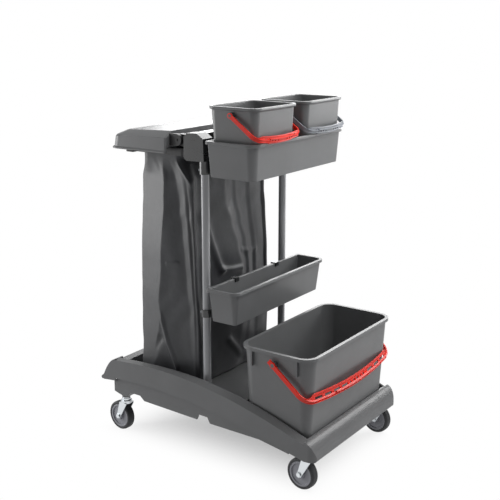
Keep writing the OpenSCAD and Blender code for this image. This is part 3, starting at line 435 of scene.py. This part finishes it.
# Round of the lid's crown at its bag end, in millimetres. It takes the edges that lie within CROWN_H of the
# top, between END_FOOT_L and ROUND_END_L from the end, and bend by more than CROWN_ANGLE degrees.
CROWN_R = 14
CROWN_H = 26
END_FOOT_L = 12
ROUND_END_L = 75
CROWN_ANGLE = 14
# Round of the lid's other edges
LID_EDGE_R = 3
# The lid's hinge knuckles, painted black as shade, begin at KNUCKLE_X, and the heads' noses, painted black
# as shade, NOSE_GAP before the beam
KNUCKLE_X = -126.5
NOSE_GAP = 8.5


def make_lid():
    """Lid with a full round along its bag end, softer edges on its crown and hinge knuckles painted black as
    shade.
    """
    lid = copy_of("lid")
    low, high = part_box("lid")
    crown_z = high.z - CROWN_H * MM
    foot_x = low.x + END_FOOT_L * MM
    end_x = low.x + ROUND_END_L * MM
    round_edges(lid, CROWN_R, 6, CROWN_ANGLE, lambda p: p.z > crown_z and foot_x < p.x < end_x)
    round_edges(lid, LID_EDGE_R, 3, test=lambda p: p.x > end_x or p.z < crown_z)
    smooth(lid)
    settle(lid, "lid")
    # Painted shade: the hinge knuckles are drawn in black nylon where the hinge block lies in shade
    paint_shade(lid, lambda p: p.x > KNUCKLE_X * MM)


def make_mouldings():
    """Base, rails, bumpers, heads, lid, hoop, brackets and the straps of the bails, with moulded edges."""
    rounded("chassis", 1.5, 2)
    nose_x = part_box("top_beam")[0].x - NOSE_GAP * MM
    for side in ("near", "far"):
        rounded(side + "_rail", 5, 4)
        head = rounded(side + "_head", 4, 3)
        # Painted shade: the heads get the dark grey, and black noses by the hinge, where the hub lies in
        # shade
        head.data.materials[0] = dark_grey_and_painted_shade
        paint_shade(head, lambda p: p.x < nose_x)
    rounded("bag_end_bumper", 3, 3)
    rounded("bucket_end_bumper", 3, 3)
    # Painted shade: the beam between the heads gets the dark grey
    rounded("top_beam", 4, 3).data.materials[0] = dark_grey_and_painted_shade
    make_lid()
    rounded("lid_rests", 2, 2)
    rounded("bag_frame", 3, 2)
    for bracket in ("mid_tray_bracket", "top_tray_bracket"):
        rounded(bracket, 1, 2).data.materials[0] = dark_grey_and_painted_shade
    for bail in ("large_bail", "near_bail", "far_bail"):
        rounded(bail, 1.0, 2)


# Casters

# The shoulders of a tyre are rounded where they bend by more than this, in degrees
TYRE_ANGLE = 12


def make_casters():
    """Forks, axles, wheels and tyres with pressed or moulded edges."""
    for number in range(1, 5):
        rounded(f"caster_fork_{number}", 0.7, 2)
        rounded(f"caster_axle_{number}", 0.6, 2)
        rounded(f"caster_wheel_{number}", 0.8, 2)
        rounded(f"caster_tyre_{number}", 1.2, 2, TYRE_ANGLE)


# Bails

# Steps round a corner of a strap, and length of a step along its bow, in millimetres
CORNER_STEPS = 24
BOW_STEP = 2.5
# Cross section of a grip plate, from its lower edge up: share of the width, rise of the face in millimetres.
# A slot opens the stretch that starts at SLOT_FROM.
SLOT_FROM = 0.3
GRIP_PROFILE = [(0.0, 0.0), (0.03, 1.6), (0.1, 1.6), (0.14, 0.0), (SLOT_FROM, 0.0), (0.62, 0.0),
                (0.72, 0.0), (0.75, -1.2), (0.83, -1.2), (0.86, 2.0), (0.97, 2.0), (1.0, 0.8)]
GRIP_WALL = 3.0
# Faces of a grip that bend by less than this are shaded smooth, in degrees
GRIP_ANGLE = 35
# Share of a strap's corner over which its arm widens into the grip plate
GROWTH = 0.9


def bail_line(half, reach, corner, bow):
    """Points of a bail's strap in its own plane, each with its outward angle, from near corner to far."""
    lean = math.asin((half - corner) / (bow - corner))
    corner_x = reach - bow + (bow - corner) * math.cos(lean)
    line = []
    for i in range(CORNER_STEPS + 1):
        a = -math.pi / 2 + (math.pi / 2 - lean) * i / CORNER_STEPS
        line.append((corner_x + corner * math.cos(a), corner - half + corner * math.sin(a), a))
    steps = int(2 * half / BOW_STEP)
    for i in range(1, steps):
        a = -lean + 2 * lean * i / steps
        line.append((reach - bow + bow * math.cos(a), bow * math.sin(a), a))
    return line + [(x, -y, -a) for x, y, a in line[CORNER_STEPS::-1]]


def grip_points(pivot, line, half, corner, hang, arm, plate):
    """Corner points of a grip plate along its line, in metres, where the bail hangs at rest."""
    tilt = math.radians(hang)
    arm_half, arm_out = arm
    (low_d, low_z), (high_d, high_z) = plate
    wide = math.hypot(high_d - low_d, high_z - low_z)
    face_d, face_z = (high_z - low_z) / wide, (low_d - high_d) / wide
    points = []
    for x, y, a in line:
        grown = ease((half - abs(y)) / corner / GROWTH)
        for share, rise in GRIP_PROFILE:
            d = mix(arm_out, mix(low_d, high_d, share) + face_d * rise, grown)
            z = mix(mix(-arm_half, arm_half, share), mix(low_z, high_z, share) + face_z * rise, grown)
            r = x + d * math.cos(a)
            place = (pivot[0] + r * math.cos(tilt) + z * math.sin(tilt), pivot[1] + y + d * math.sin(a),
                     pivot[2] - r * math.sin(tilt) + z * math.cos(tilt))
            points.append(Vector(place) * MM)
    return points


def make_grip(node, half, reach, corner, bow, hang, arm, plate, slots):
    """Wide grip plate of a bail with its rims and slots. Sizes are millimetres and degrees below level.

    arm is the strap's half width and where it lies; plate gives its lower and upper edge as (out, up)
    of the strap's line; slots are (middle, width) along the bail."""
    line = bail_line(half, reach, corner, bow)
    verts = grip_points(pivot_of[node], line, half, corner, hang, arm, plate)
    rows = len(GRIP_PROFILE)
    faces = []
    for i in range(len(line) - 1):
        middle = (line[i][1] + line[i + 1][1]) / 2
        holed = any(abs(middle - place) < width / 2 for place, width in slots)
        for j in range(rows - 1):
            if not (holed and GRIP_PROFILE[j][0] == SLOT_FROM):
                faces.append((i * rows + j, (i + 1) * rows + j, (i + 1) * rows + j + 1, i * rows + j + 1))
    grip = new_piece(node + "_grip", sheet_mesh(node + "_grip", verts, faces))
    thicken(grip, GRIP_WALL)
    turn_outwards()
    bpy.ops.object.shade_smooth_by_angle(angle=math.radians(GRIP_ANGLE))
    fit_out(grip, node)


def make_grips():
    """Grip plates of the large bail, with long slots and five short ones, and of the two small bails."""
    large_slots = [(place, 36) for place in (-205, -156, -107, -62, 102, 152, 200)]
    large_slots += [(place, 9) for place in (-28, -7, 14, 35, 56)]
    make_grip("large_bail", half=265.3, reach=173.713, corner=45, bow=1600, hang=39, arm=(7.3, 2.8),
              plate=((6, -2), (-19, 17)), slots=large_slots)
    small_slots = [(place, 13) for place in (-75, -54, -33, -12, 12, 33, 54, 75)]
    for node in ("near_bail", "far_bail"):
        make_grip(node, half=118.3, reach=124.98, corner=30, bow=600, hang=36, arm=(6.3, 2.3),
                  plate=((4, -3), (-8, 12)), slots=small_slots)


# Bag

# Sizes of the bag are millimetres. It lies in the hoop down to HANG_Z and falls free below that.
HANG_Z = 962
# Gap from the hoop's outside to the bag, and the post side of the bag's neck, clear of the hinge
HOOP_GAP = 14.3
NECK_POST_X = -102.05
# Corner radius in the neck and below it, and the height over which it changes
NECK_CORNER_R = 30
CORNER_R = 28
CORNER_FADE = 90
# Where the folds begin and the height over which they grow
FOLD_Z = 968
FOLD_FADE = 80
# How far the foot is drawn in, and the height over which that happens
FOOT_DRAW = 10
FOOT_FADE = 14
# Turn in degrees of the flat panel that cuts the near corner at the bag end
FLAT_TURN = 18
# Depth of the far corner on the post side
FAR_CORNER = 11
# Distance between the samples that soften a crease, and the weights of the samples
SOFT_STEP = 3.0
SOFT_WEIGHTS = [(-2, 0.12), (-1, 0.24), (0, 0.28), (1, 0.24), (2, 0.12)]
CLOTH_WALL = 1.0
BAG_ROWS = 135
BAG_COLUMNS = 352

# Creases of the bag on its near, post, far and bag end sides, each a row of (height, place, depth) stops
# from the hoop down to the deck. A place runs from 0 to 1 along its side. Panels lie between creases.
CREASES = [
    [
        [(962, 0.53, 0), (912, 0.52, 0), (606, 0.44, 0), (480, 0.39, 0), (400, 0.41, 0), (340, 0.50, 0),
         (212, 0.70, 0)],
        [(962, 0.68, 2), (912, 0.69, 10), (790, 0.73, 15), (714, 0.76, 17), (637, 0.785, 18),
         (564, 0.80, 18), (473, 0.84, 16), (388, 0.84, 13), (212, 0.92, 5)],
        [(962, 0.82, 0), (912, 0.83, 3), (790, 0.86, 5), (714, 0.88, 6), (637, 0.89, 7), (570, 0.925, 7),
         (478, 0.95, 7), (212, 0.97, 3)],
        [(962, 0.88, 1), (790, 0.91, 10), (714, 0.93, 12), (637, 0.95, 12), (570, 0.97, 11),
         (478, 0.985, 9), (212, 0.99, 3)],
    ],
    [
        [(962, 0.10, 2), (880, 0.10, 18), (740, 0.10, 24), (590, 0.11, 22), (400, 0.12, 16),
         (212, 0.14, 8)],
        [(962, 0.39, 0), (841, 0.395, 0), (802, 0.40, 0), (731, 0.46, 0), (648, 0.525, 0), (570, 0.577, 0),
         (400, 0.56, 0), (212, 0.50, 0)],
        [(962, 0.50, 0), (880, 0.505, 8), (802, 0.52, 12), (731, 0.57, 12), (648, 0.62, 11), (570, 0.66, 9),
         (400, 0.64, 6), (212, 0.60, 3)],
        [(962, 0.53, 0), (880, 0.535, 6), (802, 0.55, 9), (731, 0.60, 9), (648, 0.65, 8), (570, 0.685, 6),
         (400, 0.67, 4), (212, 0.62, 2)],
        [(962, 0.70, 1), (880, 0.71, 16), (802, 0.72, 20), (590, 0.77, 17), (212, 0.76, 7)],
        [(962, 0.73, 1), (880, 0.74, 13), (802, 0.75, 16), (590, 0.80, 13), (212, 0.785, 5)],
        [(962, 0.91, 1), (880, 0.93, 21), (740, 0.945, 24), (590, 0.945, 22), (212, 0.91, 9)],
    ],
    [
        [(962, 0.27, 0), (590, 0.29, 2), (212, 0.26, 1)],
        [(962, 0.50, 2), (880, 0.53, 12), (590, 0.56, 15), (212, 0.54, 9)],
        [(962, 0.74, 0), (590, 0.76, 2), (212, 0.78, 1)],
        [(962, 0.88, 1), (700, 0.88, 6), (212, 0.90, 3)],
    ],
    [
        [(962, 0.17, 0), (590, 0.19, 0), (212, 0.16, 0)],
        [(962, 0.33, 2), (880, 0.35, 12), (590, 0.37, 15), (400, 0.36, 13), (212, 0.34, 9)],
        [(962, 0.55, 0), (590, 0.60, 0), (212, 0.62, 0)],
        [(962, 0.76, 2), (880, 0.79, 9), (590, 0.80, 13), (212, 0.78, 8)],
        [(962, 0.90, 0), (212, 0.91, 0)],
    ],
]
# Depth at the start and the end of each side, where it meets its neighbours
CORNER_DEPTHS = [(0, 0), (0, FAR_CORNER), (FAR_CORNER, 0), (0, 0)]

# Short tucks that stand out of the panels, or sink in where the rise is negative: side,
# (place, height) points, width and rise
TUCKS = [
    (0, [(0.85, 944), (0.92, 905), (0.99, 876)], 6, 4),
    (0, [(0.36, 950), (0.42, 925), (0.46, 890)], 9, -4),
    (0, [(0.40, 440), (0.51, 347), (0.65, 264)], 7, 5),
    (0, [(0.38, 355), (0.24, 300), (0.10, 262)], 15, -7),
    (0, [(0.53, 614), (0.68, 620)], 5, 3),
    (1, [(0.17, 770), (0.24, 675), (0.31, 600), (0.345, 578)], 13, 9),
    (1, [(0.345, 578), (0.45, 570), (0.57, 566)], 10, 6),
    (1, [(0.60, 625), (0.68, 612), (0.80, 608)], 8, 3),
    (1, [(0.40, 330), (0.55, 262), (0.78, 226)], 12, 6),
    (2, [(0.30, 700), (0.48, 560), (0.70, 500)], 12, 6),
    (2, [(0.20, 300), (0.50, 246), (0.82, 232)], 12, 6),
    (3, [(0.22, 760), (0.38, 620), (0.62, 560)], 12, 7),
    (3, [(0.84, 430), (0.60, 318), (0.30, 250)], 13, 7),
]


def section_point(u, x0, x1, half, radius):
    """Point and outward normal of a rounded rectangle; u runs 0 to 1 along the near side, then round."""
    side = int(u) % 4
    t = u - int(u)
    length = (x1 - x0, 2 * half, x1 - x0, 2 * half)[side]
    along = t * length
    bend = 0.0
    inset = 0.0
    if along < radius:
        bend = -math.radians(45) * (1 - along / radius)
    elif along > length - radius:
        bend = math.radians(45) * (1 - (length - along) / radius)
    if bend:
        along = (radius if bend < 0 else length - radius) + radius * math.sin(bend)
        inset = radius * (1 - math.cos(bend))
    nx, ny = math.sin(bend), -math.cos(bend)
    point = ((x0 + along, -half + inset), (x1 - inset, -half + along),
             (x1 - along, half - inset), (x0 + inset, half - along))[side]
    normal = ((nx, ny), (-ny, nx), (-nx, -ny), (ny, -nx))[side]
    return point, normal


def through(stops, z):
    """Value at height z of a smooth line through (height, value) stops that run downwards."""
    for (z0, v0), (z1, v1) in zip(stops, stops[1:]):
        if z >= z1:
            return mix(v0, v1, ease((z0 - z) / (z0 - z1)))
    return stops[-1][1]


def track(stops, z):
    """Place and depth at height z of a crease."""
    return (through([(h, place) for h, place, depth in stops], z),
            through([(h, depth) for h, place, depth in stops], z))


def depth_along(points, t):
    """Depth at a place along a side, on straight panels between its creases."""
    for (t0, d0), (t1, d1) in zip(points, points[1:]):
        if t <= t1:
            return mix(d0, d1, (t - t0) / max(t1 - t0, 1e-6))
    return points[-1][1]


def away(x, z, points):
    """Distance from a point to a line through points."""
    best = math.inf
    for (xa, za), (xb, zb) in zip(points, points[1:]):
        dx, dz = xb - xa, zb - za
        t = min(max(((x - xa) * dx + (z - za) * dz) / (dx * dx + dz * dz), 0.0), 1.0)
        best = min(best, math.hypot(x - xa - t * dx, z - za - t * dz))
    return best


def tuck_rise(side, along, length, z):
    """Rise of the short tucks at one point of the bag."""
    rise = 0.0
    for tuck_side, points, width, height in TUCKS:
        if tuck_side == side and points[-1][1] - 3 * width < z < points[0][1] + 3 * width:
            d = away(along, z, [(t * length, h) for t, h in points]) / width
            rise += height * math.exp(-d * d)
    return rise


def ripple(u, z):
    """Slight waves of the cloth between its folds."""
    broad = 0.9 * math.sin(9.3 * u + 0.013 * z)
    narrow = 0.7 * math.sin(23.7 * u - 0.021 * z + 3 * math.sin(0.02 * z))
    return broad + narrow


def bag_lines():
    """Left, right and half width of the bag down its height, and the ridge of its flat corner, as stops."""
    low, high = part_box("bag")
    hoop_low, hoop_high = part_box("bag_frame")
    top_z, foot_z = high.z / MM, low.z / MM
    x_low, x_high, half = low.x / MM, high.x / MM, high.y / MM
    neck_x = hoop_low.x / MM + HOOP_GAP
    neck_half = hoop_high.y / MM - HOOP_GAP
    left = [(top_z, neck_x), (HANG_Z, neck_x), (880, x_low + 12), (590, x_low + 3), (330, x_low + 1),
            (foot_z, x_low - 5)]
    right = [(top_z, NECK_POST_X), (HANG_Z, NECK_POST_X), (880, x_high - 10), (590, x_high),
             (400, x_high + 8), (foot_z, x_high + 2)]
    halves = [(top_z, neck_half), (HANG_Z, neck_half), (880, half), (590, half + 3), (400, half + 3),
              (foot_z, half - 6)]
    # The ridge on the near side from which the corner is drawn flat, as a share of the side
    ridge = [(HANG_Z, 0.53), (912, 0.52), (606, 0.44), (480, 0.39), (330, 0.36), (foot_z, 0.25)]
    return left, right, halves, ridge


def bag_ring(z, foot_z, lines):
    """Points of the bag at one height."""
    x0, x1, half, ridge = [through(line, z) for line in lines]
    radius = mix(NECK_CORNER_R, CORNER_R, ease((HANG_Z - z) / CORNER_FADE))
    strength = ease((FOLD_Z - z) / FOLD_FADE)
    draw = FOOT_DRAW * (1 - ease((z - foot_z) / FOOT_FADE))
    ridge_x = x0 + ridge * (x1 - x0)
    flat_x, flat_y = -math.sin(math.radians(FLAT_TURN)), -math.cos(math.radians(FLAT_TURN))
    panels = [[(0, start)] + [track(crease, z) for crease in side] + [(1, end)]
              for side, (start, end) in zip(CREASES, CORNER_DEPTHS)]
    ring = []
    for i in range(BAG_COLUMNS):
        u = 4 * i / BAG_COLUMNS
        side = int(u)
        t = u - side
        length = (x1 - x0) if side % 2 == 0 else 2 * half
        (x, y), (nx, ny) = section_point(u, x0, x1, half, radius)
        soft = SOFT_STEP / length
        depth = sum(weight * depth_along(panels[side], min(max(t + step * soft, 0), 1))
                    for step, weight in SOFT_WEIGHTS)
        out = strength * (tuck_rise(side, t * length, length, z) + ripple(u, z) - depth) - draw
        x += nx * out
        y += ny * out
        over = strength * max(flat_x * (x - ridge_x) + flat_y * (y + half), 0)
        ring.append((x - over * flat_x, y - over * flat_y, z))
    return ring


def band(first, second):
    """Faces between two rings of the bag, given by the numbers of their first points."""
    faces = []
    for i in range(BAG_COLUMNS):
        k = (i + 1) % BAG_COLUMNS
        faces.append((first + i, second + i, second + k, first + k))
    return faces


def make_bag():
    """Coated cloth bag: hangs flat inside the hoop, then falls in panels and tucks to the deck."""
    low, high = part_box("bag")
    top_z, foot_z = high.z / MM, low.z / MM
    lines = bag_lines()
    rings = [bag_ring(mix(top_z, foot_z, j / BAG_ROWS), foot_z, lines) for j in range(BAG_ROWS + 1)]
    # Floor of the bag, drawn in to its middle in two rings and closed by one face
    middle_x = (low.x + high.x) / 2 / MM
    foot = rings[-1]
    for share in (0.75, 0.4):
        rings.append([(mix(middle_x, x, share), y * share, z) for x, y, z in foot])
    verts = [Vector(point) * MM for ring in rings for point in ring]
    faces = []
    for j in range(len(rings) - 1):
        faces += band(j * BAG_COLUMNS, (j + 1) * BAG_COLUMNS)
    faces.append(tuple(range(len(verts) - BAG_COLUMNS, len(verts))))
    bag = new_piece("hanging_bag", sheet_mesh("bag_sheet", verts, faces))
    turn_outwards()
    thicken(bag, CLOTH_WALL)
    bpy.ops.object.shade_smooth()
    settle(bag, "bag")


# Stage

# Half length and half width of the cart's footprint, and where the floor's fade to white begins and ends
# as a distance from its edge, in metres
FOOTPRINT = (0.42, 0.27, 0.0)
FADE_FROM = -0.24
FADE_TO = 0.05
# Share of white where the shadow is deepest
LEAST_WHITE = 0.4
# Side of the floor, in metres
FLOOR_SIZE = 120
# Strength of the world behind the cart and on the camera's side, and the cosines of the angle to the
# camera's side between which it dims
WORLD_BEHIND = 0.58
WORLD_BEFORE = 0.12
DIM_FROM = -0.1
DIM_TO = 0.75
# Height of the dimmest place, in degrees
DIM_ELEVATION = 5


def make_floor():
    """White floor that takes the cart's shadow near it and fades to plain white further off."""
    bpy.ops.object.select_all(action="DESELECT")
    bpy.ops.mesh.primitive_plane_add(size=FLOOR_SIZE, location=(0, 0, 0))
    floor = bpy.context.object
    floor.name = "studio_floor"
    material, tree = new_material("white_studio_floor")
    place = add(tree, "TexCoord").outputs["Object"]
    apart = add(tree, "VectorMath", {0: place}, operation="ABSOLUTE")
    past = add(tree, "VectorMath", {0: apart.outputs[0], 1: FOOTPRINT}, operation="SUBTRACT")
    parts = add(tree, "SeparateXYZ", {0: past.outputs[0]})
    reach = add(tree, "Math", {0: parts.outputs["X"], 1: parts.outputs["Y"]}, operation="MAXIMUM")
    far = add(tree, "MapRange", {"Value": reach.outputs[0], "From Min": FADE_FROM, "From Max": FADE_TO,
                                 "To Min": LEAST_WHITE}, interpolation_type="SMOOTHSTEP")
    path = add(tree, "LightPath")
    seen = add(tree, "Math", {0: path.outputs["Is Camera Ray"], 1: path.outputs["Is Glossy Ray"]},
               operation="MAXIMUM")
    share = add(tree, "Math", {0: seen.outputs[0], 1: far.outputs["Result"]}, operation="MULTIPLY")
    shown = add(tree, "Mix", {0: path.outputs["Is Camera Ray"], 6: linear("b4b4b6"), 7: linear("fbfbfc")},
                data_type="RGBA")
    paper = add(tree, "BsdfDiffuse", {"Color": shown.outputs[2]})
    white = add(tree, "Emission", {"Color": linear("ffffff"), "Strength": 1.0})
    surface = add(tree, "MixShader", {0: share.outputs[0], 1: paper.outputs[0], 2: white.outputs[0]})
    add(tree, "OutputMaterial", {"Surface": surface.outputs[0]})
    floor.data.materials.append(material)


def make_world():
    """White studio: bright all round and dimmer from where the camera stands; white to the camera."""
    world = bpy.data.worlds.new("white_studio")
    bpy.context.scene.world = world
    world.use_nodes = True
    tree = world.node_tree
    tree.nodes.clear()
    place = add(tree, "TexCoord").outputs["Generated"]
    before = tuple(direction(VIEW_AZIMUTH, DIM_ELEVATION))
    facing = add(tree, "VectorMath", {0: place, 1: before}, operation="DOT_PRODUCT")
    dim = add(tree, "MapRange", {"Value": facing.outputs["Value"], "From Min": DIM_FROM, "From Max": DIM_TO,
                                 "To Min": WORLD_BEHIND, "To Max": WORLD_BEFORE},
              interpolation_type="SMOOTHSTEP")
    path = add(tree, "LightPath")
    level = add(tree, "Mix", {0: path.outputs["Is Camera Ray"], 2: dim.outputs["Result"], 3: 1.0},
                data_type="FLOAT")
    sky = add(tree, "Background", {"Color": linear("ffffff"), "Strength": level.outputs[0]})
    add(tree, "OutputWorld", {"Surface": sky.outputs[0]})


def make_lamp(name, azimuth, elevation, distance, height, size, watts, spread=180):
    """Square softbox that looks at the cart at that height; a grid on it narrows its spread, in degrees."""
    data = bpy.data.lights.new(name, "AREA")
    data.shape = "SQUARE"
    data.size = size
    data.energy = watts
    data.spread = math.radians(spread)
    lamp = bpy.data.objects.new(name, data)
    bpy.context.collection.objects.link(lamp)
    middle = Vector((0, 0, height))
    aim(lamp, middle + direction(azimuth, elevation) * distance, middle)


def make_lights():
    """Soft studio light: one box above the bucket end, a weak one to the right, one left, one behind."""
    make_world()
    make_lamp("top_softbox", 95, 56, distance=2.6, height=0.7, size=1.6, watts=36)
    make_lamp("right_softbox", 150, 10, distance=2.1, height=1.15, size=1.2, watts=7, spread=75)
    make_lamp("left_softbox", -66, 8, distance=3.0, height=0.5, size=1.9, watts=46)
    make_lamp("back_softbox", 208, 28, distance=3.0, height=0.8, size=2.0, watts=60)


bpy.context.scene.view_settings.view_transform = "Standard"
make_camera()
dress()
make_vessels()
make_mouldings()
make_casters()
make_grips()
make_bag()
make_floor()
make_lights()
